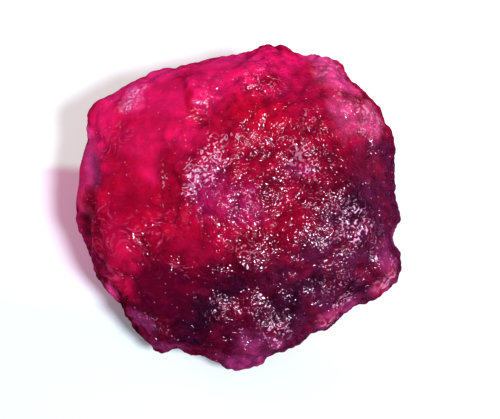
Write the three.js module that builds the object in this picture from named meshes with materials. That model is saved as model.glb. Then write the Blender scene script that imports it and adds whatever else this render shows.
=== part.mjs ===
// A rough red beryl: one broken lump of translucent crystal that lies on the flat of its underside.
// Millimetres, +Z up, with the origin on the resting face, under the middle of the stone.
//
// The stone is widest on its girdle, a closed outline in a plane that leans up towards the back. Over that
// plane stands the crown, and under it the flanks drop to the resting face. A place on the crown is [u, v] in
// the girdle plane, u to the right and v up the lean, and w is the height over the plane.
import * as THREE from "three";
import { ImprovedNoise } from "three/addons/math/ImprovedNoise.js";
import { mergeVertices } from "three/addons/utils/BufferGeometryUtils.js";

const RINGS = 21; // the sphere that is shaped into the stone has 20 * (RINGS + 1)^2 triangles
const SPHERE_SQUASH = 0.62; // draws the sphere's corners towards the girdle, where the stone is widest
const GIRDLE_LEAN = THREE.MathUtils.degToRad(14);
const MIDDLE_HEIGHT = 8.8; // the girdle's middle over the resting face
const RIM_POWER = 7; // how square the crown's edge is: it stays high until close to the girdle
const RIM_DROP = 40; // how steeply the crown's height goes on down past the girdle
const FACE_BLEND = 0.55; // rounding of the ridges between the crown's faces
const FLANK_POWER = 1.8; // the flanks fall steeply at first and turn in towards the foot
const FOOT_ROUNDING = 1.0;
const FOOT_CUT = 0.1; // the lowest skin is rubbed flat to this depth, which makes the resting face
const MEAN_REACH = 17; // the stone's rough radius
const RELIEF_FADE = 1.6; // the relief fades out over this height above the resting face

// The girdle's outline, from the left tip over the back, the right side and the front.
const GIRDLE = [
  [-17.5, 9.4], [-17.1, 11.5], [-16.2, 12.9], [-14.3, 13.5], [-12.8, 14.5], [-10.0, 16.1],
  [-7.7, 16.7], [-4.3, 17.4], [-1.0, 17.9], [1.5, 18.4], [3.6, 18.9], [5.9, 18.9],
  [6.9, 18.1], [8.0, 17.8], [8.8, 18.3], [10.4, 18.0], [12.0, 17.5], [13.0, 15.9],
  [14.7, 13.6], [16.2, 12.1], [17.3, 9.8], [18.1, 7.8], [18.4, 5.2], [18.5, 2.3],
  [19.0, -0.3], [18.7, -1.9], [17.9, -3.4], [18.8, -4.5], [19.0, -6.0], [18.4, -8.3],
  [17.4, -9.4], [15.6, -10.2], [13.8, -10.6], [12.5, -11.8], [11.3, -13.3], [9.8, -13.8],
  [8.6, -14.0], [7.8, -15.1], [6.7, -16.1], [4.9, -17.0], [3.8, -17.4], [2.9, -18.3],
  [0.9, -18.8], [-1.2, -18.6], [-2.5, -17.8], [-3.5, -17.3], [-5.4, -17.1], [-6.6, -16.4],
  [-8.3, -16.8], [-9.2, -16.5], [-10.0, -15.8], [-11.7, -14.1], [-13.0, -12.4], [-14.3, -10.4],
  [-15.8, -8.4], [-16.9, -6.0], [-17.8, -3.7], [-18.6, -1.7], [-19.0, 0.3], [-18.4, 2.9],
  [-18.2, 5.2], [-17.7, 6.9], [-17.1, 8.2],
];

// The corners of the foot, [x, y] round the resting face. The flanks are broken flat between them.
const FOOT = [
  [-14.8, 5.6], [-8.6, 12.6], [0.6, 15.4], [9.4, 13.8], [14.6, 6.4],
  [15.4, -3.2], [9.2, -11.2], [-1.6, -14.2], [-9.8, -12.2], [-14.9, -4.6],
];

// The broken faces of the crown. Each passes at its height over the place "at" and falls towards a compass
// direction in the girdle plane: 0 to the right, 90 to the back.
const FACES = [
  { at: [1.5, 3.5], height: 10.4, fall: 6, towards: 60 }, // top
  { at: [-7.0, 2.0], height: 9.6, fall: 24, towards: 184 }, // left
  { at: [-7.0, 9.5], height: 8.6, fall: 29, towards: 142 }, // back left
  { at: [0.5, 11.5], height: 9.2, fall: 34, towards: 96 }, // back
  { at: [9.5, 9.5], height: 8.8, fall: 31, towards: 52 }, // back right
  { at: [12.5, 2.5], height: 8.6, fall: 30, towards: 4 }, // right
  { at: [10.5, -6.0], height: 8.4, fall: 28, towards: -38 }, // front right
  { at: [0.0, -6.2], height: 9.4, fall: 27, towards: -88 }, // front
  { at: [-8.5, -6.0], height: 8.5, fall: 33, towards: -134 }, // front left
];

// Ledges: the crown drops by "drop" to the left of a line, as one walks along it, over a slope this wide.
// The drop fades out at the line's ends, and heals away from the line between two distances.
const LEDGES = [
  {
    drop: 2.8,
    slope: 0.8,
    line: [
      [-10.8, -11.6], [-12.4, -9.4], [-13.7, -8.1], [-15.3, -6.9], [-16.2, -5.2], [-16.7, -3.0],
      [-15.8, -1.2], [-15.6, 0.6], [-16.2, 1.6], [-15.2, 3.6], [-15.6, 5.6], [-15.2, 7.6],
    ],
  },
  { drop: 0.8, slope: 1.4, line: [[-2.6, -4.8], [-4.8, -2.4], [-6.4, 2.2], [-6.2, 7.4]] },
  { drop: 0.7, slope: 1.6, line: [[7.4, -7.8], [2.4, -6.6], [-3.4, -7.6], [-9.8, -6.8]] },
];
const LEDGE_ENDS = 0.16; // the share of the line over which each end fades
const LEDGE_HEALS = [3, 7];

// Grooves along a line, and round lumps and pits (a pit is a lump with a negative height).
const GROOVES = [
  { depth: 1.0, width: 1.5, line: [[7.3, 18.2], [8.6, 15.6], [10.4, 12.6], [12.4, 9.6], [13.6, 7.4]] },
  { depth: 0.5, width: 1.3, line: [[-9.8, 16.4], [-9.4, 12.6], [-9.2, 9.8]] },
  { depth: 0.4, width: 1.2, line: [[-4.9, 17.2], [-4.7, 12.4], [-5.4, 8.6]] },
  { depth: 0.6, width: 1.5, line: [[4.2, -6.4], [8.4, -9.2], [12.6, -11.4]] },
  { depth: 0.6, width: 1.3, line: [[-9.6, -12.8], [-4.2, -13.4], [0.8, -13.2]] },
  { depth: 0.8, width: 1.4, line: [[17.4, -3.6], [15.2, -4.4], [13.2, -7.2], [13.4, -10.6]] },
];
const LUMPS = [
  { at: [0.8, 1.8], size: 2.1, height: 0.7 },
  { at: [-3.8, 3.2], size: 1.9, height: 0.5 },
  { at: [7.6, 6.0], size: 1.7, height: 0.6 },
  { at: [12.8, -0.6], size: 2.2, height: 0.9 },
  { at: [2.6, -3.6], size: 1.7, height: 0.5 },
  { at: [11.6, 15.2], size: 2.1, height: 0.8 },
  { at: [-12.4, 11.8], size: 1.9, height: 0.7 },
  { at: [-15.2, 11.0], size: 1.4, height: 0.8 },
  { at: [16.8, -6.8], size: 1.7, height: 1.4 },
  { at: [10.8, -12.4], size: 1.4, height: 1.0 },
  { at: [4.8, -13.8], size: 1.9, height: 1.2 },
  { at: [1.2, -16.6], size: 1.9, height: 0.9 },
  { at: [-1.6, -11.2], size: 1.9, height: 0.8 },
  { at: [-8.2, -14.6], size: 1.6, height: 0.8 },
  { at: [-13.2, -4.6], size: 2.1, height: 0.9 },
  { at: [-12.6, 1.4], size: 2.4, height: -0.6 },
  { at: [-8.6, -3.6], size: 2.1, height: -0.7 },
  { at: [4.6, 2.2], size: 1.4, height: -0.6 },
  { at: [-7.0, 13.2], size: 2.1, height: -0.5 },
];

// Small flat breaks, which step the crown. Each lies in a plane of its own through the crown's height at its
// middle, and is whole out to FLAT_TO of its reach.
const BREAKS = [
  { at: [-4.9, 2.6], reach: [2.6, 4.8], fall: 12, towards: -5 },
  { at: [0.8, 6.8], reach: [2.4, 3.6], fall: 11, towards: -10 },
  { at: [1.0, 1.2], reach: [3.2, 2.6], fall: 10, towards: 10 },
  { at: [7.2, 6.4], reach: [2.0, 4.6], fall: 13, towards: -5 },
  { at: [12.6, -0.6], reach: [4.2, 3.8], fall: 14, towards: -10 },
  { at: [8.2, -2.6], reach: [3.2, 2.4], fall: 12, towards: -20 },
  { at: [2.2, -4.4], reach: [3.6, 2.4], fall: 12, towards: -15 },
  { at: [-3.6, 12.4], reach: [2.8, 4.2], fall: 14, towards: 30 },
  { at: [3.4, 14.4], reach: [4.0, 2.8], fall: 15, towards: 40 },
  { at: [13.8, 10.2], reach: [2.8, 4.6], fall: 18, towards: 15 },
  { at: [-2.6, -10.8], reach: [3.4, 2.4], fall: 14, towards: -40 },
  { at: [5.0, -13.4], reach: [3.4, 2.6], fall: 14, towards: -35 },
  { at: [-11.6, 13.0], reach: [2.6, 2.4], fall: 14, towards: 30 },
  { at: [9.8, -6.6], reach: [3.4, 2.2], fall: 14, towards: -30 },
];
const FLAT_TO = 0.5;
const BREAK_WARP = { by: 3.2, size: 3.6, apart: 11 }; // how the breaks' edges wander
const BREAK_CALM = 0.5; // the share of the relief that the breaks lose

// The relief all over the stone, from slow swells to chips: size and height of each layer.
const SWELLS = [{ size: 11, height: 0.8 }, { size: 5, height: 0.4 }];
const CHIPS = [{ size: 4.6, height: 0.8 }, { size: 2.6, height: 0.45 }];
const CHIP_MEAN = 0.95; // the average of the chip pattern
const CHIP_TILT = 1.1; // how far a chip's face may lean, as a slope of the pattern
const CHIP_WARP = { by: 0.35, size: 0.8, apart: 11 }; // how the chips' edges wander, in chip sizes
// The relief is low along the girdle and on the glassy faces of the crown.
const GIRDLE_CALM = { share: 0.4, within: 3 };
const GLASSY = [
  { at: [-9.8, 3.6], size: 5.0, calm: 0.45 },
  { at: [-6.6, 12.6], size: 3.6, calm: 0.5 },
  { at: [-8.0, -9.0], size: 3.6, calm: 0.35 },
];
// Shallow hollows in the resting face, which leave broad contact between them.
const HOLLOWS = { size: 5.2, height: 2.2, from: 0.08 };

const AXES = [0, 1, 2];
const BESIDE = [-1, 0, 1];
const NEIGHBOURS = BESIDE.flatMap((i) => BESIDE.flatMap((j) => BESIDE.map((k) => [i, j, k])));
const COMPASS_STEPS = 1440; // directions in which an outline's reach is worked out
const CURVE_STEPS = 8; // points on the girdle's curve for each point of its outline
const SEARCH_STEP = 0.6; // the stone is never thinner than this
const SEARCH_HALVINGS = 14;
const noise = new ImprovedNoise();
const NOISE_PLACE = 37.3; // keeps the samples off the noise's own lattice at zero
const HASH_WEIGHTS = [127.1, 311.7, 74.7, 53.9];
const HASH_SCALE = 43758.5453;

const AXIS_U = new THREE.Vector3(1, 0, 0);
const AXIS_V = new THREE.Vector3(0, Math.cos(GIRDLE_LEAN), Math.sin(GIRDLE_LEAN));
const AXIS_W = new THREE.Vector3(0, -Math.sin(GIRDLE_LEAN), Math.cos(GIRDLE_LEAN));

// Distance from the middle to a closed outline, in every direction of its plane.
function reachTable(outline) {
  return Array.from({ length: COMPASS_STEPS }, (_, i) => {
    const angle = (i / COMPASS_STEPS) * 2 * Math.PI;
    const [c, s] = [Math.cos(angle), Math.sin(angle)];
    let reach = 0;
    for (let k = 1; k < outline.length; k++) {
      const [a, b] = [outline[k - 1], outline[k]];
      const [sideA, sideB] = [c * a.y - s * a.x, c * b.y - s * b.x];
      if (sideA * sideB > 0 || sideA === sideB) continue;
      const share = sideA / (sideA - sideB);
      reach = Math.max(reach, c * (a.x + share * (b.x - a.x)) + s * (a.y + share * (b.y - a.y)));
    }
    return reach;
  });
}
const flatPoints = (outline) => outline.map(([x, y]) => new THREE.Vector3(x, y, 0));
const girdleCurve = new THREE.CatmullRomCurve3(flatPoints(GIRDLE), true, "centripetal");
const GIRDLE_REACH = reachTable(girdleCurve.getPoints(GIRDLE.length * CURVE_STEPS));
const FOOT_REACH = reachTable(flatPoints([...FOOT, FOOT[0]]));

function reachOf(table, x, y) {
  const turn = Math.atan2(y, x) / (2 * Math.PI);
  const place = (turn - Math.floor(turn)) * table.length;
  const i = Math.floor(place) % table.length;
  return THREE.MathUtils.lerp(table[i], table[(i + 1) % table.length], place - Math.floor(place));
}

// How far [u, v] is from a line of points, on which side (1 is the left), and how far along the line the
// nearest place is, from 0 to 1.
function fromLine(u, v, line) {
  let best = { distance: Infinity };
  for (let k = 1; k < line.length; k++) {
    const [au, av] = line[k - 1];
    const [du, dv] = [line[k][0] - au, line[k][1] - av];
    const share = ((u - au) * du + (v - av) * dv) / (du * du + dv * dv);
    const held = THREE.MathUtils.clamp(share, 0, 1);
    const distance = Math.hypot(u - au - held * du, v - av - held * dv);
    if (distance >= best.distance) continue;
    const side = Math.sign(du * (v - av) - dv * (u - au));
    best = { distance, side, along: (k - 1 + held) / (line.length - 1) };
  }
  return best;
}

function planeHeight(u, v, { at, height, fall, towards }) {
  const slope = Math.tan(THREE.MathUtils.degToRad(fall));
  const compass = THREE.MathUtils.degToRad(towards);
  return height - slope * ((u - at[0]) * Math.cos(compass) + (v - at[1]) * Math.sin(compass));
}

function facesHeight(u, v) {
  const sum = FACES.reduce((total, face) => total + Math.exp(-planeHeight(u, v, face) / FACE_BLEND), 0);
  return -FACE_BLEND * Math.log(sum);
}

function featuresHeight(u, v) {
  let height = 0;
  for (const { drop, slope, line } of LEDGES) {
    const { distance, side, along } = fromLine(u, v, line);
    if (side < 0) continue;
    const fromEnds = THREE.MathUtils.smoothstep(Math.min(along, 1 - along), 0, LEDGE_ENDS);
    const unhealed = 1 - THREE.MathUtils.smoothstep(distance, ...LEDGE_HEALS);
    height -= drop * fromEnds * unhealed * THREE.MathUtils.smoothstep(distance, 0, slope);
  }
  for (const { depth, width, line } of GROOVES) {
    const { distance } = fromLine(u, v, line);
    height -= depth * Math.exp(-((distance / width) ** 2));
  }
  for (const { at, size, height: lump } of LUMPS) {
    height += lump * Math.exp(-(((u - at[0]) ** 2 + (v - at[1]) ** 2) / (size * size)));
  }
  return height;
}

const unbrokenHeight = (u, v) => facesHeight(u, v) + featuresHeight(u, v);
const breakPlanes = BREAKS.map((flat) => ({ ...flat, height: unbrokenHeight(...flat.at) }));

// How much of a place belongs to a small flat break: 1 on its flat and 0 beyond its reach.
function breakShare(u, v, { at, reach }) {
  const { by, size, apart } = BREAK_WARP;
  const du = u - at[0] + by * swell(new THREE.Vector3(u, v, apart), size);
  const dv = v - at[1] + by * swell(new THREE.Vector3(u, v, -apart), size);
  return 1 - THREE.MathUtils.smoothstep(Math.hypot(du / reach[0], dv / reach[1]), FLAT_TO, 1);
}

function crownHeight(u, v) {
  const share = Math.hypot(u, v) / reachOf(GIRDLE_REACH, u, v);
  if (share >= 1) return (1 - share) * RIM_DROP;
  let height = unbrokenHeight(u, v);
  for (const flat of breakPlanes) {
    height = THREE.MathUtils.lerp(height, planeHeight(u, v, flat), breakShare(u, v, flat));
  }
  return Math.max(0, height) * Math.sqrt(1 - share ** RIM_POWER);
}

// How far a point lies outside the plain stone: negative inside, zero on its skin.
function outside(point) {
  const [u, v, w] = [point.dot(AXIS_U), point.dot(AXIS_V), point.dot(AXIS_W)];
  if (w >= 0) return w - crownHeight(u, v);
  const under = -w / Math.cos(GIRDLE_LEAN); // straight up from here to the girdle plane
  const above = v + under * Math.sin(GIRDLE_LEAN);
  const rimHeight = MIDDLE_HEIGHT + above * Math.sin(GIRDLE_LEAN);
  const sunk = THREE.MathUtils.clamp(under / rimHeight, 0, 1);
  const rimShare = Math.hypot(u, above) / reachOf(GIRDLE_REACH, u, above);
  const footShare = Math.hypot(point.x, point.y) / reachOf(FOOT_REACH, point.x, point.y);
  const flank = (THREE.MathUtils.lerp(rimShare, footShare, sunk ** FLANK_POWER) - 1) * MEAN_REACH;
  const foot = -(point.z + MIDDLE_HEIGHT);
  return FOOT_ROUNDING * Math.log(Math.exp(flank / FOOT_ROUNDING) + Math.exp(foot / FOOT_ROUNDING));
}

// The place where a ray from the stone's middle leaves it.
function skinPoint(direction) {
  let inner = 0;
  while (outside(direction.clone().multiplyScalar(inner + SEARCH_STEP)) < 0) inner += SEARCH_STEP;
  let outer = inner + SEARCH_STEP;
  for (let i = 0; i < SEARCH_HALVINGS; i++) {
    const middle = (inner + outer) / 2;
    if (outside(direction.clone().multiplyScalar(middle)) < 0) inner = middle;
    else outer = middle;
  }
  return direction.clone().multiplyScalar(inner);
}

function swell(p, size) {
  return noise.noise(p.x / size + NOISE_PLACE, p.y / size + NOISE_PLACE, p.z / size + NOISE_PLACE);
}

// A repeatable number from 0 to 1 for a cell of a grid.
function cellNumber(i, j, k, kind) {
  const mixed = [i, j, k, kind].reduce((sum, value, at) => sum + value * HASH_WEIGHTS[at], 0);
  const n = Math.sin(mixed) * HASH_SCALE;
  return n - Math.floor(n);
}

// Domed chips that lean each its own way, with creases between them: the highest of the domes round a place.
function chips(p, size) {
  const place = AXES.map((axis) => {
    const elsewhere = p.clone().addScalar(axis * CHIP_WARP.apart);
    return p.getComponent(axis) / size + CHIP_WARP.by * swell(elsewhere, size * CHIP_WARP.size);
  });
  const cell = place.map(Math.floor);
  let highest = -Infinity;
  for (const offset of NEIGHBOURS) {
    const [i, j, k] = offset.map((step, axis) => cell[axis] + step);
    const away = AXES.map((axis) => place[axis] - [i, j, k][axis] - cellNumber(i, j, k, axis));
    const lean = AXES.map((axis) => CHIP_TILT * (cellNumber(i, j, k, axis + AXES.length) - 0.5));
    const dome = AXES.reduce((sum, axis) => sum + away[axis] * (lean[axis] - away[axis]), 1);
    highest = Math.max(highest, dome);
  }
  return highest;
}

function relief(p) {
  const swells = SWELLS.reduce((sum, { size, height }) => sum + height * swell(p, size), 0);
  return CHIPS.reduce((sum, { size, height }) => sum + height * (chips(p, size) - CHIP_MEAN), swells);
}

const fromFoot = (p) => THREE.MathUtils.smoothstep(p.z + MIDDLE_HEIGHT, 0, RELIEF_FADE);

// How much of the relief a place gets: none at the foot, little along the girdle, and less on the glassy
// faces and the small flat breaks.
function reliefShare(p) {
  const [u, v, w] = [p.dot(AXIS_U), p.dot(AXIS_V), p.dot(AXIS_W)];
  const fromGirdle = THREE.MathUtils.smoothstep(Math.abs(w), 0, GIRDLE_CALM.within);
  let share = fromFoot(p) * THREE.MathUtils.lerp(GIRDLE_CALM.share, 1, fromGirdle);
  if (w <= 0) return share;
  for (const { at, size, calm } of GLASSY) {
    share *= 1 - calm * Math.exp(-((u - at[0]) ** 2 + (v - at[1]) ** 2) / (size * size));
  }
  for (const flat of BREAKS) share *= 1 - BREAK_CALM * breakShare(u, v, flat);
  return share;
}

function stoneGeometry() {
  const sphere = new THREE.IcosahedronGeometry(1, RINGS);
  sphere.deleteAttribute("normal");
  sphere.deleteAttribute("uv");
  const geometry = mergeVertices(sphere, 1e-5);
  const position = geometry.getAttribute("position");
  const [point, outward] = [new THREE.Vector3(), new THREE.Vector3()];
  for (let i = 0; i < position.count; i++) {
    point.fromBufferAttribute(position, i);
    point.z *= SPHERE_SQUASH;
    position.setXYZ(i, ...skinPoint(point.normalize()));
  }
  geometry.computeVertexNormals();
  const normal = geometry.getAttribute("normal");
  for (let i = 0; i < position.count; i++) {
    point.fromBufferAttribute(position, i);
    const hollow = HOLLOWS.height * Math.max(0, swell(point, HOLLOWS.size) - HOLLOWS.from);
    const atFoot = 1 - fromFoot(point);
    outward.fromBufferAttribute(normal, i);
    point.addScaledVector(outward, reliefShare(point) * relief(point));
    position.setXYZ(i, point.x, point.y, Math.max(FOOT_CUT - MIDDLE_HEIGHT, point.z + hollow * atFoot));
  }
  geometry.deleteAttribute("normal");
  geometry.computeBoundingBox();
  const { min, max } = geometry.boundingBox;
  geometry.translate(-(min.x + max.x) / 2, -(min.y + max.y) / 2, -min.z);
  return geometry;
}

function stone() {
  const material = new THREE.MeshStandardMaterial({ color: 0xa8083e, roughness: 0.22, metalness: 0 });
  const mesh = new THREE.Mesh(stoneGeometry(), material);
  mesh.name = "stone";
  return mesh;
}

const part = new THREE.Group();
part.add(stone());

export default part;
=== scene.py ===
"""A rough red beryl on a white sheet: the stone's fine surface and finish, the light and the camera.

Sizes are in millimetres and become metres where an object is made. A place on the stone's crown is [u, v] on
its girdle plane, which leans up towards the back: u runs to the right and v up the lean. Its height over that
plane is w.
"""

import math

import bpy
import numpy as np
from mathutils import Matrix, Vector, noise
from mathutils.bvhtree import BVHTree


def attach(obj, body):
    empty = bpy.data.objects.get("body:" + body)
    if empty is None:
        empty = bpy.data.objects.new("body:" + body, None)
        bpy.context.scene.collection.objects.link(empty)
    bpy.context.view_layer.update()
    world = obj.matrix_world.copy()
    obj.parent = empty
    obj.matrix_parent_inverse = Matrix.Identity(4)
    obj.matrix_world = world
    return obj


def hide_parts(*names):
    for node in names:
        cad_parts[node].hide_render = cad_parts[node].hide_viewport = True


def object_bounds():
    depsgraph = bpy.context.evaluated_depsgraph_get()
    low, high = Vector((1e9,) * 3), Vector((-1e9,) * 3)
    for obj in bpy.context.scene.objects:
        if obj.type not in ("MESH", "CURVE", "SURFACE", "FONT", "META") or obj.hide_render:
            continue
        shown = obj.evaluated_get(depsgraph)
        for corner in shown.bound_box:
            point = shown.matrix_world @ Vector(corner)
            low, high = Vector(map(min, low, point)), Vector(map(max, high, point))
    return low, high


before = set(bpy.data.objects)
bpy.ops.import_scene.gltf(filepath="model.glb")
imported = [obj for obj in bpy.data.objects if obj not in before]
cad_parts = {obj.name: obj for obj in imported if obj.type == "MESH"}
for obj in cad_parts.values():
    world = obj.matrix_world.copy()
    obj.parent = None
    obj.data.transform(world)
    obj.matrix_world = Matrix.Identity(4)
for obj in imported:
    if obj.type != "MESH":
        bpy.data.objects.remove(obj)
cad_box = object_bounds()

MM = 0.001
GIRDLE_LEAN = math.radians(14)
GIRDLE_MIDDLE = Vector((-0.10, -0.30, 8.70))
OVER_CROWN = 40  # a height over the girdle that the crown doesn't reach
SAME_PLACE = 7  # corners of the solid that agree to this many decimals of a metre are one corner
AXIS_U = Vector((1, 0, 0))
AXIS_V = Vector((0, math.cos(GIRDLE_LEAN), math.sin(GIRDLE_LEAN)))
AXIS_W = Vector((0, -math.sin(GIRDLE_LEAN), math.cos(GIRDLE_LEAN)))

# A spot on the crown is [u, v] of its middle, its reach along and across, and how it is turned, in degrees
# from u. It is as deep as it is long, so it takes in the flank under it as well. It is whole to the first of
# these shares of its reach and gone at the second.
SOFT_SPOT = (0.35, 1.35)
CRISP_SPOT = (0.8, 1.15)
# How far the spots' edges wander, and over what size. Without a seed, they would wander anew at each run.
NOISE_SEED = 2
COLOUR_WARPS = [{"size": 4.5, "by": 1.6}, {"size": 1.2, "by": 0.6}]
GLINT_AND_VEIL_WARPS = [{"size": 2.6, "by": 1.2}, {"size": 0.9, "by": 0.6}]

# The fine surface, as relief over the plain solid: pebbles and grains, each with its size and height, and how
# far its pieces lean.
SUBDIVISIONS = 2
GRAINS = [
    {"size": 3.1, "height": 0.40, "lean": 1.2},
    {"size": 1.5, "height": 0.30, "lean": 1.2},
    {"size": 0.75, "height": 0.12, "lean": 1.1},
]
GRAIN_WARP = {"size": 1.7, "by": 0.35}  # what bends the grains, as shares of their size
GRAIN_MEAN = 0.9  # the average height of the domes that the grains are made of
LEAN_SHUFFLE = 7.3  # spreads the grains' places out, so that each grain draws a lean of its own
NOISE_MEAN = 0.5  # of a noise whose values lie between 0 and 1
PEBBLE_DRAW = 0.6  # pebbles are drawn out downwards: this share of their depth doesn't count
FOOT_FADE = 1.2  # the relief fades out over this height above the resting face
# Teeth round the girdle, away from the smooth back left.
TEETH = {"size": 0.85, "height": 0.42, "lean": 1.0, "within": 3.6}
TEETH_SMOOTH = {"at": (-12.0, 14.0), "to": 15.0}
# Glassy breaks, where the relief is low.
GLASSY = [
    (-12.0, 3.0, 4.0, 6.0, 0), (-8.2, 11.4, 4.6, 4.4, 0), (-14.6, 10.6, 3.6, 3.0, 0),
    (-7.6, -8.6, 5.4, 3.0, 0), (-17.6, 3.0, 2.0, 5.0, 0), (-13.6, -4.0, 2.2, 3.6, 0),
    (-2.2, 8.0, 2.2, 1.6, 0), (-5.4, -3.4, 3.0, 1.6, -30), (-3.0, 15.6, 4.2, 2.0, 10),
]
GLASSY_CALM = 0.82  # the share of the relief that the glassy breaks lose

# The finest relief, under the mesh's own detail: grains, pebbles, and a few sharp beads everywhere.
FINE_GRAIN = {"size": 0.28, "height": 0.07}
FINE_PEBBLE = {"size": 0.62, "height": 0.13, "warp_size": 0.8, "warp_by": 0.5}
# A share of the beads' tops is painted pale, as painted glints.
BEAD = {"size": 0.62, "radius": 0.12, "height": 0.08, "share": 0.4, "painted_glint": 0.5}
# Curling ridges: how large their whorls are, how many ridges a whorl has, and their height.
WHORL = {"size": 0.8, "turns": 4.8, "height": 0.048}
# Where pale colour is painted on the ridges' crests as painted glints, wholly and half. It lies on more of a
# crest the more of it its place has, only on grains that stand out, and in pieces. Here and below, a pattern
# sets in over the range of a noise's values that "over" gives.
PAINTED_GLINT_PLACES = [
    (1.0, [
        (-4.7, 2.8, 1.7, 3.4, 0), (-2.3, 5.2, 2.0, 4.0, 0), (7.0, 5.6, 1.6, 3.0, 0),
        (13.2, -1.4, 2.8, 3.6, 0), (-7.7, 2.7, 0.5, 2.4, 0), (-11.6, 12.6, 1.3, 2.2, -30),
        (4.8, -14.0, 2.5, 2.9, 0), (12.0, -10.0, 1.6, 1.4, 0),
    ]),
    (0.5, [
        (0.7, -4.3, 2.4, 2.2, 0), (-3.4, 12.4, 1.3, 3.6, -10), (2.9, 14.4, 3.0, 2.8, 0),
        (14.6, 11.0, 2.6, 4.2, 20), (1.0, 0.9, 2.4, 1.8, 0), (0.6, 7.4, 1.0, 1.8, 0),
        (8.6, 0.6, 2.2, 1.8, 0), (10.4, -8.2, 4.0, 1.8, 10), (-9.8, -12.6, 3.0, 0.9, -20),
        (8.0, 9.4, 1.6, 2.8, 0), (17.2, -6.0, 1.4, 2.4, 0), (15.2, -3.6, 2.2, 2.4, 0),
        (-2.4, -10.9, 1.8, 1.9, 0),
    ]),
]
PAINTED_GLINT_SHARE = 0.85
PAINTED_GLINT_CREST = (0.9, 1.6)
PAINTED_GLINT_RAISED = (0.05, 0.5)
PAINTED_GLINT_PIECES = {"size": 0.4, "over": (0.42, 0.58)}
# Veils in the crystal: wisps this wide, drawn out and bent, and how much they show in veiled places and
# elsewhere.
WISP = {"size": 0.34, "drawn_out": 7.0, "bend_size": 2.6, "bend_by": 3.2, "over": (0.52, 0.72)}
VEIL_SHARE = {"veiled": 0.46, "elsewhere": 0.05}
VEILED = [
    (-9.4, -1.8, 4.6, 2.4, 10), (-14.0, 7.6, 3.0, 2.2, 0), (-15.0, -2.0, 2.0, 3.4, 0),
    (-16.8, 3.4, 1.6, 4.0, 0), (-6.0, -6.8, 2.0, 1.2, -30), (-13.6, -7.6, 1.6, 2.4, 0),
]
# Milky grains on the back right and its shoulder and on the chips; in the palest of the places with painted
# glints, the same grains are painted glints too.
MILKY_AND_GLINT_GRAIN = {"size": 0.5, "share": 0.45, "over": (0.5, 0.66)}
MILKY_AND_GLINT_PLACES = [
    (10.4, 16.2, 1.4, 3.0, -30), (11.7, 12.0, 2.4, 0.9, -70), (14.4, 10.2, 2.4, 2.4, 0),
    (16.9, -8.2, 1.4, 1.8, -20), (10.7, -12.4, 1.8, 1.0, 25), (-11.8, 12.6, 1.2, 2.0, -30),
    (7.2, 5.8, 0.5, 2.4, 0), (-4.5, 3.0, 1.1, 1.8, 0),
]

# The crystal's colours, and colours painted on it as light, shade and glints, as linear red, green and blue.
CRIMSON = (0.27, 0.001, 0.019)
ROSE = (0.34, 0.002, 0.034)
PINK_RED = (0.62, 0.006, 0.085)
MAGENTA = (0.32, 0.006, 0.075)
HOT_PINK = (0.72, 0.008, 0.115)
# Painted glow: pinker and lighter than the crystal, on the thin back edges, for light that comes through
# them.
PAINTED_EDGE_GLOW = (1.0, 0.02, 0.20)
MILKY_PINK = (0.85, 0.06, 0.27)
CHIP_PINK = (0.38, 0.035, 0.13)
SHOULDER = (0.54, 0.040, 0.15)
DEEP_RED = (0.16, 0.0010, 0.014)
LEDGE_RED = (0.46, 0.003, 0.048)
BRIGHT_RED = (0.45, 0.002, 0.031)
SCARLET = (0.46, 0.002, 0.024)
# A painted sheen, mauve, on the upper left flank.
MAUVE_SHEEN = (0.45, 0.03, 0.16)
# The flank under the ledge, darkened as painted shade.
FLANK_SHADE_RED = (0.20, 0.003, 0.028)
MAROON = (0.085, 0.0010, 0.015)
FRONT_RED = (0.12, 0.001, 0.016)
RUSSET = (0.17, 0.006, 0.030)
PURPLE = (0.085, 0.006, 0.034)
SMOKE = (0.032, 0.002, 0.014)
LIP = (0.23, 0.018, 0.10)
# Pale colour painted on the ridges' crests and beads as painted glints; also the milky grains' colour.
GLINT_AND_MILKY_PALE = (0.82, 0.44, 0.64)
# The veils' colour, also painted along the ledge's rim as a highlight.
VEIL_AND_RIM_HIGHLIGHT = (0.74, 0.07, 0.22)

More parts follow.
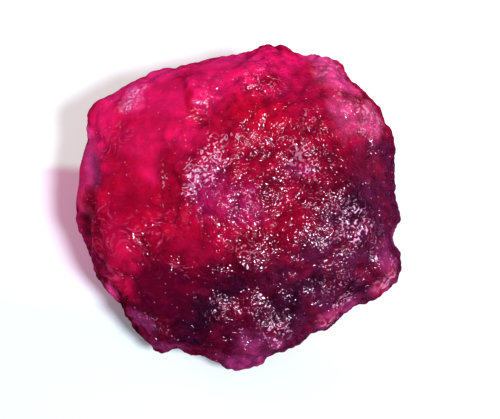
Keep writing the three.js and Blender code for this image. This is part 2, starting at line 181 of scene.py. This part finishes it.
# Where each colour lies: in clouds, which set in from one value of their noise to another, and in spots.
# Later ones cover earlier ones.
CLOUD_FRACTAL = (1.0, 2.0, 3)  # how fast its detail weakens and shrinks, and how many steps it has
CRIMSON_CLOUDS = {"size": 5.0, "from": -0.15, "to": 0.45}
DARK_CLOUDS = {"size": 1.9, "from": -0.1, "to": 0.4, "share": 0.5}
FACET_CLOUDS = {"size": 1.3, "from": -0.05, "to": 0.40}
LIGHT_SPOTS = [
    # The crystal's pink on the back, lightened as painted glow where light comes through the thin back.
    (HOT_PINK, [
        (-15.0, 10.8, 2.8, 2.8, 0), (-7.0, 12.0, 5.0, 3.2, 20), (0.0, 16.4, 6.0, 2.2, 0),
        (5.6, 16.8, 3.0, 2.0, 0),
    ]),
    (PAINTED_EDGE_GLOW, [
        (-9.4, 15.4, 5.4, 1.7, 18), (-14.4, 13.0, 2.0, 1.4, 30), (-1.0, 16.8, 4.4, 1.4, 8),
    ]),
    (BRIGHT_RED, [
        (-4.6, 11.6, 4.4, 0.7, 110), (9.4, 14.6, 3.2, 1.0, -55), (-11.4, 8.8, 3.4, 0.7, -4),
        (-8.4, 3.6, 3.4, 4.0, 0), (-13.4, 1.6, 2.4, 2.0, 0), (-7.4, -1.4, 5.0, 1.8, 0),
        (-13.6, 7.0, 2.2, 1.8, 0),
    ]),
    (PINK_RED, [(-10.6, 7.6, 3.2, 1.8, 0), (-6.2, 7.8, 2.4, 1.5, 0), (-9.4, 4.8, 1.6, 1.4, 0)]),
    (SCARLET, [(1.6, 10.0, 4.2, 3.2, 0)]),
    (ROSE, [(-4.4, -3.6, 3.2, 1.4, -30)]),
    (MAGENTA, [(-2.8, 2.4, 2.4, 3.2, 0), (1.0, 0.9, 3.0, 2.2, 0), (7.2, 3.6, 1.4, 1.0, 0)]),
    (DEEP_RED, [
        (3.8, 2.2, 2.2, 1.6, 0), (10.8, 4.4, 3.4, 3.2, -30), (8.8, 1.0, 3.0, 2.0, 0),
        (8.0, -4.0, 3.2, 2.2, 0), (3.0, -4.0, 3.6, 1.8, 0),
    ]),
    (CRIMSON, [(3.4, 14.2, 1.8, 1.0, 0), (0.4, 7.8, 2.0, 1.6, 0)]),
    # Mauve painted sheen on the upper left flank.
    (MAUVE_SHEEN, [(-17.2, 5.2, 2.0, 3.0, 0)]),
    (SHOULDER, [(15.4, 9.6, 2.6, 3.0, 30), (12.0, 10.6, 2.2, 2.6, 30), (11.4, 15.4, 2.8, 2.6, 0)]),
]
# Each line passes over [u, v], and its far side lies in a compass direction in the girdle plane. The back
# left is pink: the crystal's colour, lightened as painted glow where light comes through the thin back. The
# crystal is dark from its front up over its right side: past the first line at the front, and past the second
# on the right as far back as the third.
PINK_BACK = {"at": (-6.5, 8.0), "towards": 115, "blur": 5.5}
DARK_FRONT = {"at": (-4.0, -5.0), "towards": -93, "blur": 1.5}
DARK_RIGHT = {"at": (9.0, -0.4), "towards": -33, "blur": 2.4}
DARK_BACK_END = {"at": (16.0, 8.0), "towards": -84, "blur": 1.4}
PURPLE_SIDE = {"at": (4.0, -8.0), "towards": -20, "blur": 5.0}
DARK_SPOTS = [
    (FRONT_RED, [(-9.4, -7.8, 3.0, 1.8, 0)]),
    (RUSSET, [(15.6, 4.6, 2.4, 1.8, 0)]),
    (LIP, [
        (1.0, -17.2, 4.4, 1.6, 0), (-8.2, -15.6, 3.4, 1.1, 0), (9.6, -13.2, 2.2, 1.2, 30),
        (18.2, -3.0, 1.2, 2.6, 0), (2.4, -15.0, 3.0, 1.5, 5), (12.6, -11.0, 2.2, 1.4, 30),
        (16.8, -5.4, 1.8, 2.4, 0), (-10.8, -12.8, 2.0, 1.2, -40),
    ]),
    (SMOKE, [
        (-3.4, -10.8, 2.8, 2.2, 0), (-3.8, -12.8, 3.4, 1.9, 0), (8.8, -8.4, 2.2, 1.3, 0),
        (12.0, 1.4, 3.6, 2.0, -20), (13.2, -8.4, 2.8, 1.2, 0), (-0.6, -8.4, 2.4, 1.2, 0),
        (5.6, -10.4, 3.4, 1.5, 10), (-4.6, -15.0, 2.2, 1.0, -10),
    ]),
]
TOP_SPOTS = [
    (LEDGE_RED, [(-13.6, -4.4, 3.0, 3.6, 0), (-13.2, -8.4, 1.6, 2.2, 20)]),
    (MILKY_PINK, [
        (-11.6, 12.8, 1.3, 2.2, -30), (-17.0, 8.6, 0.9, 1.2, 0), (9.4, 17.2, 2.2, 1.6, 0),
        (-14.2, -9.8, 0.9, 1.3, 0), (11.8, 15.2, 1.2, 2.0, 20),
    ]),
]
# Two pale chips at the right of the front, and the flank under the ledge on the left, darker as painted
# shade, which ends sharply at the ledge's rim, painted paler as a highlight.
PINK_CHIPS = [(16.9, -8.0, 1.7, 2.2, -20), (10.7, -12.2, 2.0, 1.2, 25)]
PAINTED_SHADE_FLANK = [(-19.6, -2.8, 3.5, 5.2, 0), (-15.6, -6.2, 1.3, 3.4, 22)]
RIM_HIGHLIGHT_SHARE = 0.3
# Grains that stand out from what is round them, within this many corners of the mesh, are painted lighter
# than the hollows between them, which are painted darker as shade, and they are the ones that get painted
# glints.
# Shades run from the dark to the light.
STAND_OUT = {"corners": 10, "from": -0.11, "to": 0.09}
PAINTED_RELIEF_SHADE = (0.72, 1.27)
MOTTLE = {"size": 1.4, "detail": 4.0, "roughness": 0.6, "over": (0.34, 0.66), "shade": (0.89, 1.11)}

# The numbers of the two materials that are the same all over.
BERYL = {
    "Subsurface Weight": 0.8,
    "Subsurface Radius": (1.0, 0.2, 0.35),
    "Subsurface Scale": 1.4 * MM,
    "IOR": 1.58,
    "Roughness": 0.13,
    "Specular Tint": (1.0, 0.72, 0.84, 1),
}
SHEET = {"Base Color": (0.77, 0.86, 0.84, 1), "Roughness": 0.9, "Specular IOR Level": 0.0}
SHEET_SIZE = 1600
# A Mix node has sockets of the same name for each kind of value. These are the ones for colours.
MIX_SHARE, MIX_UNDER, MIX_OVER = 0, 6, 7
MIX_RESULT = 2

# A window, and a weak light from low on the left that stands for what comes through the crystal to that
# side, so nothing mirrors it.
WINDOW = {"direction": Vector((0.45, -0.33, 1.0)), "radius": 36, "watts": 1.32}
FILL = {"direction": Vector((-0.84, 0.46, 0.29)), "radius": 90, "watts": 0.32}
LAMP_DISTANCE = 320
LAMP_COLOUR = (0.87, 0.86, 1.0)
SKY_STRENGTH = 0.28
# Painted light on the sheet: a glow that stands for the light that comes through the crystal. It is pink all
# round, which shows in the shadow only, nearly white from the clearer back left of the stone, and dim at its
# dark front. Places are on the sheet, from the middle.
PINK_GLOW = (0.245, 0.0, 0.095)
CLEAR_GLOW = (0.18, 0.38, 0.28)
DIM_GLOW = (0.01, 0.0, 0.01)
CLEAR_FROM = {"at": (-20.0, 7.2), "towards": 86, "blur": 0.9}
DIM_FROM = {"at": (-16.0, -9.0), "towards": -100, "blur": 4.5}
GLOW_REACH = 60

# The camera looks straight down on the girdle plane, with this place [u, v] in the middle of its picture.
CAMERA_AIM = (1.5, 0.06)
CAMERA_LENS = 85
CAMERA_SENSOR = 36
CAMERA_NEAR = 1  # what is nearer to the camera isn't drawn
FRAME_WIDTH = 57.5  # the width of the picture at the girdle


# --- places on the stone ---


def on_girdle(u, v):
    """The point of the girdle plane at [u, v], in the part's own frame and in millimetres."""
    return GIRDLE_MIDDLE + AXIS_U * u + AXIS_V * v


def crown_height(u, v, solid):
    """How high the crown stands over the girdle plane at [u, v], or 0 past the stone's edge."""
    start = on_girdle(u, v) + AXIS_W * OVER_CROWN
    hit = solid.ray_cast(start * MM, -AXIS_W)[0]
    return (hit / MM - GIRDLE_MIDDLE).dot(AXIS_W) if hit else 0.0


def to_girdle(places):
    """Places in the part's own frame as [u, v, w]."""
    return (places - np.array(GIRDLE_MIDDLE)) @ np.array([AXIS_U, AXIS_V, AXIS_W]).T


def eased(values, low, high):
    """The values from low to high as 0 to 1, eased at both ends."""
    share = np.clip((values - low) / (high - low), 0, 1)
    return share**2 * (3 - 2 * share)


def wandering(at, warps):
    """Places that wander, so that what is placed by them gets a natural edge."""
    for warp in warps:
        drift = [noise.noise_vector(Vector(place) / warp["size"]) for place in at]
        at = at + np.array(drift) * warp["by"]
    return at


def clouds(at, cloud):
    """How much of a cloud lies at each place, from 0 to 1."""
    values = np.array([noise.fractal(Vector(place) / cloud["size"], *CLOUD_FRACTAL) for place in at])
    return eased(values, cloud["from"], cloud["to"])


def within_spots(at, spots, solid, shares=SOFT_SPOT):
    """1 in the middles of the spots and 0 past their reach."""
    found = np.zeros(len(at))
    for u, v, along, across, turn in spots:
        off_u, off_v, off_w = (at - (u, v, crown_height(u, v, solid))).T
        cos, sin = math.cos(math.radians(turn)), math.sin(math.radians(turn))
        offsets = [
            (off_u * cos + off_v * sin) / along,
            (off_v * cos - off_u * sin) / across,
            off_w / max(along, across),
        ]
        away = np.linalg.norm(offsets, axis=0)
        found = np.maximum(found, eased(away, shares[1], shares[0]))
    return found


def past_line(at, line):
    """0 on the near side of a line over the girdle plane and 1 on its far side."""
    compass = math.radians(line["towards"])
    u, v = line["at"]
    along = (at[:, 0] - u) * math.cos(compass) + (at[:, 1] - v) * math.sin(compass)
    return eased(along, -line["blur"], line["blur"])


# --- the stone's surface ---


def triangles_of(node):
    """The node's corners, in metres, and its triangles, with shared corners joined."""
    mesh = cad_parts[node].data
    mesh.calc_loop_triangles()
    places = np.array([v.co for v in mesh.vertices])
    tris = np.array([t.vertices for t in mesh.loop_triangles])
    rounded = np.round(places, SAME_PLACE)
    _, first, joined = np.unique(rounded, axis=0, return_index=True, return_inverse=True)
    return places[first], joined.reshape(-1)[tris]


def sides_of(tris):
    """The three sides of each triangle, as pairs of corners, the lower number first."""
    return np.sort(tris[:, [0, 1, 1, 2, 2, 0]].reshape(-1, 2), axis=1)


def subdivided(places, tris):
    """One step of Loop subdivision, with its usual weights: four smooth triangles for each one."""
    edges, edge_of = np.unique(sides_of(tris), axis=0, return_inverse=True)
    edge_of = edge_of.reshape(-1, 3)
    facing = np.zeros((len(edges), 3))
    np.add.at(facing, edge_of.ravel(), places[tris[:, [2, 0, 1]].ravel()])
    middles = (places[edges[:, 0]] + places[edges[:, 1]]) * 3 / 8 + facing / 8
    valence = np.bincount(edges.ravel(), minlength=len(places))
    ring = np.zeros_like(places)
    np.add.at(ring, edges[:, 0], places[edges[:, 1]])
    np.add.at(ring, edges[:, 1], places[edges[:, 0]])
    pull = (5 / 8 - (3 / 8 + np.cos(2 * math.pi / valence) / 4) ** 2) / valence
    corners = places * (1 - valence * pull)[:, None] + ring * pull[:, None]
    (a, b, c), (ab, bc, ca) = tris.T, (edge_of + len(places)).T
    parts = [(a, ab, ca), (b, bc, ab), (c, ca, bc), (ab, bc, ca)]
    return np.vstack([corners, middles]), np.vstack([np.stack(part, axis=1) for part in parts])


def leaning_domes(place, lean):
    """The highest of the domes round a place, each leaning its own way, over cells one unit across."""
    tops = []
    for away, middle in zip(*noise.voronoi(place)):
        tilt = (noise.cell_vector(middle * LEAN_SHUFFLE) - Vector((NOISE_MEAN,) * 3)) * lean
        tops.append(1 - away**2 + (place - middle).dot(tilt))
    return max(tops) - GRAIN_MEAN


def fine_relief(place):
    """The height of the pebbles and grains at a place, in millimetres."""
    from_girdle = (place - GIRDLE_MIDDLE).dot(AXIS_W)
    place = place - AXIS_W * from_girdle * PEBBLE_DRAW
    height = 0.0
    for grain in GRAINS:
        warp = noise.noise_vector(place / (grain["size"] * GRAIN_WARP["size"])) * GRAIN_WARP["by"]
        height += grain["height"] * leaning_domes(place / grain["size"] + warp, grain["lean"])
    return height


def teeth(place):
    """The height of the teeth round the girdle at a place, in millimetres."""
    low = (place - GIRDLE_MIDDLE).dot(AXIS_W)
    rough = (place - on_girdle(*TEETH_SMOOTH["at"])).length / TEETH_SMOOTH["to"]
    share = math.exp(-((low / TEETH["within"]) ** 2)) * min(1.0, rough**2)
    return TEETH["height"] * share * leaning_domes(place / TEETH["size"], TEETH["lean"])


def stone_surface(solid):
    """The stone's fine surface: the solid subdivided, with pebbles and grains, inside the solid's box."""
    places, tris = triangles_of("stone")
    for _ in range(SUBDIVISIONS):
        places, tris = subdivided(places, tris)
    mesh = bpy.data.meshes.new("stone_surface")
    mesh.from_pydata(places.tolist(), [], tris.tolist())
    normals = np.array([v.normal for v in mesh.vertices])
    at = to_girdle(places / MM)
    glassy = GLASSY_CALM * within_spots(at, GLASSY, solid)
    rise = np.array([fine_relief(Vector(place)) + teeth(Vector(place)) for place in places / MM])
    rise *= np.clip(places[:, 2] / MM / FOOT_FADE, 0, 1) * (1 - glassy)
    moved = np.clip(places + normals * rise[:, None] * MM, cad_box[0], cad_box[1])
    mesh.vertices.foreach_set("co", moved.ravel())
    mesh.shade_smooth()
    mark_finish(mesh, at, glassy, standing_out(rise, tris), solid)
    surface = bpy.data.objects.new("stone_surface", mesh)
    bpy.context.scene.collection.objects.link(surface)
    return surface


def standing_out(rise, tris):
    """How far each corner's rise is over the mean rise round it, in millimetres."""
    one, other = np.unique(sides_of(tris), axis=0).T
    count = len(rise)
    neighbours = np.bincount(one, minlength=count) + np.bincount(other, minlength=count)
    mean = rise
    for _ in range(STAND_OUT["corners"]):
        total = np.bincount(one, mean[other], count) + np.bincount(other, mean[one], count)
        mean = total / neighbours
    return rise - mean


# --- what the stone's material reads from its mesh ---


def mark(mesh, name, values):
    """Keeps a number or a colour for each corner of the mesh, for its material."""
    kind, key = ("FLOAT", "value") if values.ndim == 1 else ("FLOAT_VECTOR", "vector")
    mesh.attributes.new(name, kind, "POINT").data.foreach_set(key, values.astype(np.float32).ravel())


def mark_finish(mesh, at, glassy, stand_out, solid):
    """Marks each corner's colour and painted shade, and how raised, rough, glint-painted, veiled, milky it
    is.
    """
    raised = eased(stand_out, STAND_OUT["from"], STAND_OUT["to"])
    dark, light = PAINTED_RELIEF_SHADE
    shade = dark + (light - dark) * raised
    # The colour is darker in the hollows and lighter on raised grains: painted shade.
    mark(mesh, "body", colours_with_painted_light(at, solid) * shade[:, None])
    mark(mesh, "raised", raised)
    mark(mesh, "rough", 1 - glassy)
    spread = wandering(at, GLINT_AND_VEIL_WARPS)
    glint_painted = [share * within_spots(spread, spots, solid) for share, spots in PAINTED_GLINT_PLACES]
    mark(mesh, "glint_painted", np.max(glint_painted, axis=0))
    mark(mesh, "veiled", within_spots(spread, VEILED, solid))
    mark(mesh, "milky_and_glinting", within_spots(spread, MILKY_AND_GLINT_PLACES, solid))


def blended(under, share, over):
    """A colour with another over it, where each is one colour or a colour for each place."""
    under = np.array(under)
    return under + (np.array(over) - under) * share[:, None]


def painted(colours, at, layers, solid):
    """Colours with the spots of each layer over them."""
    for tint, spots in layers:
        colours = blended(colours, within_spots(at, spots, solid), tint)
    return colours


def colours_with_painted_light(at, solid):
    """Colour at each place: crimson and pink clouds, the dark front and right side, and painted light."""
    spread = wandering(at, COLOUR_WARPS)
    cloud = clouds(at, CRIMSON_CLOUDS)
    # The pink back left: the crystal's colour, lightened as painted glow for light through the thin back.
    pink = blended(HOT_PINK, cloud, BRIGHT_RED)
    colours = blended(blended(CRIMSON, cloud, ROSE), past_line(spread, PINK_BACK), pink)
    colours = painted(colours, spread, LIGHT_SPOTS, solid)
    right = past_line(spread, DARK_RIGHT) * past_line(spread, DARK_BACK_END)
    dark = np.maximum(past_line(spread, DARK_FRONT), right)
    colours = blended(colours, dark, dark_colours(at, spread, solid))
    colours = painted(colours, spread, TOP_SPOTS, solid)
    facets = clouds(at, FACET_CLOUDS)
    chips = within_spots(spread, PINK_CHIPS, solid)
    colours = blended(colours, chips, blended(CHIP_PINK, facets, ROSE))
    # Painted shade on the flank under the ledge, and a painted highlight along the ledge's rim.
    flank = within_spots(spread, PAINTED_SHADE_FLANK, solid, CRISP_SPOT)
    colours = blended(colours, flank, blended(FLANK_SHADE_RED, facets, MAGENTA))
    rim_highlight = 4 * flank * (1 - flank)
    return blended(colours, rim_highlight * RIM_HIGHLIGHT_SHARE, VEIL_AND_RIM_HIGHLIGHT)


def dark_colours(at, spread, solid):
    """The colour of the dark front and right side: maroon, purple to the right, smoky in places."""
    colours = blended(MAROON, past_line(spread, PURPLE_SIDE), PURPLE)
    colours = blended(colours, clouds(at, DARK_CLOUDS) * DARK_CLOUDS["share"], DEEP_RED)
    return painted(colours, spread, DARK_SPOTS, solid)


# --- materials ---


def add(tree, kind, inputs=None, **settings):
    """A new node of a tree, with its settings, and its inputs set to values or linked to sockets."""
    node = tree.nodes.new(kind)
    for name, value in settings.items():
        setattr(node, name, value)
    for name, value in (inputs or {}).items():
        if isinstance(value, bpy.types.NodeSocket):
            tree.links.new(value, node.inputs[name])
        else:
            node.inputs[name].default_value = value
    return node


def math_of(tree, operation, first, second):
    """A number worked out from two others."""
    return add(tree, "ShaderNodeMath", {0: first, 1: second}, operation=operation).outputs[0]


def product(tree, *factors):
    """All the factors multiplied."""
    total = factors[0]
    for factor in factors[1:]:
        total = math_of(tree, "MULTIPLY", total, factor)
    return total


def vector_of(tree, operation, first, second, output="Vector"):
    """A vector, or a number, worked out from two vectors."""
    return add(tree, "ShaderNodeVectorMath", {0: first, 1: second}, operation=operation).outputs[output]


def mixed(tree, share, under, over, blend="MIX"):
    """Two colours mixed: each is a socket or a plain colour."""
    under, over = [(*side, 1) if isinstance(side, tuple) else side for side in (under, over)]
    inputs = {MIX_SHARE: share, MIX_UNDER: under, MIX_OVER: over}
    node = add(tree, "ShaderNodeMix", inputs, data_type="RGBA", blend_type=blend)
    return node.outputs[MIX_RESULT]


def ramp(tree, value, low, high, to=(0, 1)):
    """The value from low to high, as 0 to 1 or as another range."""
    inputs = {"Value": value, "From Min": low, "From Max": high, "To Min": to[0], "To Max": to[1]}
    return add(tree, "ShaderNodeMapRange", inputs, interpolation_type="SMOOTHSTEP").outputs["Result"]


def kept(tree, name, output="Fac"):
    """What mark() kept for the mesh under this name."""
    return add(tree, "ShaderNodeAttribute", attribute_name=name).outputs[output]


def noise_at(tree, at, size, detail=0.0, roughness=0.5, output="Fac"):
    """Cloudy noise whose clouds are this many millimetres across."""
    inputs = {"Vector": at, "Scale": 1 / size, "Detail": detail, "Roughness": roughness}
    return add(tree, "ShaderNodeTexNoise", inputs).outputs[output]


def cells_at(tree, at, size, **settings):
    """The node of a pattern of cells that are this many millimetres across."""
    return add(tree, "ShaderNodeTexVoronoi", {"Vector": at, "Scale": 1 / size}, **settings)


def millimetres(tree):
    """The piece's own coordinates, in millimetres."""
    return vector_of(tree, "DIVIDE", add(tree, "ShaderNodeTexCoord").outputs["Object"], (MM,) * 3)


def ridges(tree, at):
    """Curling ridges, like the contours of hills: 1 along their crests and -1 between them."""
    cloud = noise_at(tree, at, WHORL["size"], detail=1.0)
    return math_of(tree, "SINE", product(tree, cloud, WHORL["turns"] * math.tau), 0)


def beads(tree, at):
    """Sharp little beads everywhere: 1 in their middles."""
    cell = cells_at(tree, at, BEAD["size"])
    lot = vector_of(tree, "DOT_PRODUCT", cell.outputs["Color"], (1, 0, 0), "Value")
    near = ramp(tree, cell.outputs["Distance"], BEAD["radius"] / BEAD["size"], 0)
    return product(tree, near, math_of(tree, "LESS_THAN", lot, BEAD["share"]))


def beryl_colour(tree, at):
    """Body colour, mottled, with milky grains, veils in the crystal, and crests and beads painted as glints.
    """
    mottle = noise_at(tree, at, MOTTLE["size"], MOTTLE["detail"], MOTTLE["roughness"])
    mottle = ramp(tree, mottle, *MOTTLE["over"], MOTTLE["shade"])
    # The kept colour carries the painted glow, shade, sheen and highlight.
    colour = mixed(tree, 1.0, kept(tree, "body", "Color"), mottle, "MULTIPLY")
    grain = ramp(tree, noise_at(tree, at, MILKY_AND_GLINT_GRAIN["size"], detail=1.0), *MILKY_AND_GLINT_GRAIN["over"])
    milky_and_glint = product(tree, grain, kept(tree, "milky_and_glinting"), MILKY_AND_GLINT_GRAIN["share"])
    colour = mixed(tree, milky_and_glint, colour, GLINT_AND_MILKY_PALE)
    colour = mixed(tree, veils(tree, at), colour, VEIL_AND_RIM_HIGHLIGHT)
    colour = mixed(tree, painted_glint(tree, at), colour, GLINT_AND_MILKY_PALE)
    return mixed(tree, product(tree, beads(tree, at), BEAD["painted_glint"]), colour, GLINT_AND_MILKY_PALE)


def painted_glint(tree, at):
    """How much painted glint shows: on the ridges' crests, in pieces, where grains stand out."""
    glint_painted = kept(tree, "glint_painted")
    crest = ramp(tree, math_of(tree, "ADD", ridges(tree, at), glint_painted), *PAINTED_GLINT_CREST)
    pieces = ramp(tree, noise_at(tree, at, PAINTED_GLINT_PIECES["size"]), *PAINTED_GLINT_PIECES["over"])
    raised = ramp(tree, kept(tree, "raised"), *PAINTED_GLINT_RAISED)
    return product(tree, crest, pieces, glint_painted, raised, PAINTED_GLINT_SHARE)


def drifting(tree, at, size, by):
    """Places that wander by up to about half of this much."""
    drift = vector_of(tree, "SUBTRACT", noise_at(tree, at, size, output="Color"), (NOISE_MEAN,) * 3)
    return vector_of(tree, "ADD", at, vector_of(tree, "MULTIPLY", drift, (by,) * 3))


def veils(tree, at):
    """How much of the veils' colour shows: thin bent wisps."""
    bent = drifting(tree, at, WISP["bend_size"], WISP["bend_by"])
    drawn_out = vector_of(tree, "DIVIDE", bent, (WISP["drawn_out"], 1, 1))
    wisp = ramp(tree, noise_at(tree, drawn_out, WISP["size"], detail=1.0), *WISP["over"])
    share = ramp(tree, kept(tree, "veiled"), 0, 1, (VEIL_SHARE["elsewhere"], VEIL_SHARE["veiled"]))
    return product(tree, wisp, share)


def finest_relief(tree, at):
    """The height, in millimetres, of beads, and of grains, pebbles and ridges, which glassy breaks lack."""
    drifted = drifting(tree, at, FINE_PEBBLE["warp_size"], FINE_PEBBLE["warp_by"])
    pebble = cells_at(tree, drifted, FINE_PEBBLE["size"], feature="SMOOTH_F1").outputs["Distance"]
    height = product(tree, noise_at(tree, at, FINE_GRAIN["size"]), FINE_GRAIN["height"])
    height = math_of(tree, "SUBTRACT", height, product(tree, pebble, FINE_PEBBLE["height"]))
    height = math_of(tree, "ADD", height, product(tree, ridges(tree, at), WHORL["height"] / 2))
    height = product(tree, height, kept(tree, "rough"))
    return math_of(tree, "ADD", height, product(tree, beads(tree, at), BEAD["height"]))


def material_of(name, settings):
    """A new material, with these settings on its shader, and its shader."""
    material = bpy.data.materials.new(name)
    material.use_nodes = True
    shader = material.node_tree.nodes["Principled BSDF"]
    for socket, value in settings.items():
        shader.inputs[socket].default_value = value
    return material, shader


def beryl_material():
    """The crystal: it scatters red light under its surface, and its surface has the finest relief."""
    material, shader = material_of("red_beryl", BERYL)
    tree = material.node_tree
    at = millimetres(tree)
    bump = add(tree, "ShaderNodeBump", {"Height": finest_relief(tree, at), "Distance": MM, "Strength": 1.0})
    tree.links.new(bump.outputs["Normal"], shader.inputs["Normal"])
    tree.links.new(beryl_colour(tree, at), shader.inputs["Base Color"])
    return material


def far_side(tree, at, line):
    """0 on the near side of a line over the sheet and 1 on its far side."""
    compass = math.radians(line["towards"])
    towards = (math.cos(compass), math.sin(compass), 0)
    start = Vector((*line["at"], 0)).dot(towards)
    along = vector_of(tree, "DOT_PRODUCT", at, towards, "Value")
    return ramp(tree, along, start - line["blur"], start + line["blur"])


def sheet_material():
    """White paper with a painted glow on it, for the light that comes through the crystal."""
    material, shader = material_of("white_sheet", SHEET)
    tree = material.node_tree
    at = millimetres(tree)
    near = ramp(tree, vector_of(tree, "LENGTH", at, (0, 0, 0), "Value"), GLOW_REACH, GLOW_REACH / 2)
    clear = tuple(pink + more for pink, more in zip(PINK_GLOW, CLEAR_GLOW))
    glow = mixed(tree, far_side(tree, at, CLEAR_FROM), PINK_GLOW, clear)
    glow = mixed(tree, far_side(tree, at, DIM_FROM), glow, DIM_GLOW)
    tree.links.new(glow, shader.inputs["Emission Color"])
    tree.links.new(near, shader.inputs["Emission Strength"])
    return material


def white_sheet():
    """The sheet that the stone lies on, which the stone's gloss doesn't mirror."""
    bpy.ops.mesh.primitive_plane_add(size=SHEET_SIZE * MM)
    sheet = bpy.context.object
    sheet.name = "white_sheet"
    sheet.data.materials.append(sheet_material())
    sheet.visible_glossy = False


# --- light and camera ---


def aimed(thing, place, target):
    """Puts a lamp or a camera at a place, in millimetres, and turns it towards a target."""
    thing.location = place * MM
    thing.rotation_euler = (target - place).to_track_quat("-Z", "Y").to_euler()
    bpy.context.scene.collection.objects.link(thing)


def lamp(name, direction, radius, watts):
    """A round lamp in a direction from the stone."""
    light = bpy.data.lights.new(name, "AREA")
    light.shape = "DISK"
    light.size = 2 * radius * MM
    light.energy = watts
    light.color = LAMP_COLOUR
    stand = bpy.data.objects.new(name, light)
    aimed(stand, GIRDLE_MIDDLE + direction.normalized() * LAMP_DISTANCE, GIRDLE_MIDDLE)
    return stand


def sky():
    """A soft white sky, which the stone's gloss doesn't mirror."""
    world = bpy.data.worlds.new("sky")
    bpy.context.scene.world = world
    world.use_nodes = True
    background = world.node_tree.nodes["Background"]
    background.inputs["Color"].default_value = (1, 1, 1, 1)
    background.inputs["Strength"].default_value = SKY_STRENGTH
    world.cycles_visibility.glossy = False


def camera():
    """The camera, as far from the stone as its lens needs."""
    data = bpy.data.cameras.new("camera")
    data.lens = CAMERA_LENS
    data.sensor_width = CAMERA_SENSOR
    data.clip_start = CAMERA_NEAR * MM
    lens = bpy.data.objects.new("camera", data)
    target = on_girdle(*CAMERA_AIM)
    distance = FRAME_WIDTH * CAMERA_LENS / CAMERA_SENSOR
    aimed(lens, target + AXIS_W * distance, target)
    bpy.context.scene.camera = lens


def main():
    """Dresses the solid, and sets the stage for the picture."""
    noise.seed_set(NOISE_SEED)
    solid = BVHTree.FromObject(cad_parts["stone"], bpy.context.evaluated_depsgraph_get())
    surface = stone_surface(solid)
    surface.data.materials.append(beryl_material())
    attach(surface, "root")
    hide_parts("stone")
    white_sheet()
    lamp("window", **WINDOW)
    lamp("fill", **FILL).visible_glossy = False
    sky()
    camera()
    view = bpy.context.scene.view_settings
    view.view_transform = "Standard"
    view.look = "None"


main()
